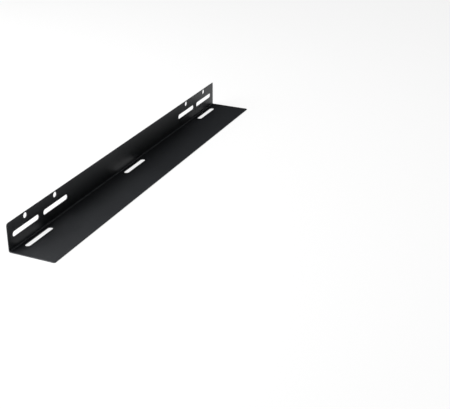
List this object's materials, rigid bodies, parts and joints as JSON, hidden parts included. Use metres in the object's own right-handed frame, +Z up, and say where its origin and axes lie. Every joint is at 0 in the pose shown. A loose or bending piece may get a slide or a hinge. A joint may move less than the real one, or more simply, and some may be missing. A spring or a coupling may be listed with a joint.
{
  "type": "rack support rail",
  "caption": "Steel angle rail that bolts inside a server rack and carries equipment on its shelf, with slots and round holes near its ends and a black powder coat.",
  "frame": {"origin": "middle of the rail's length and width, on the plane of the shelf's underside", "axes": "+Y along the rail from its front end to its rear end, +X from the side flange across the shelf, +Z up"},
  "size_m": [0.067, 0.6, 0.0394],
  "materials": {
    "powder_coat": "satin black powder coat with a fine texture"
  },
  "bodies": {
    "root": {"support_rail": "powder_coat"}
  },
  "joints": []
}
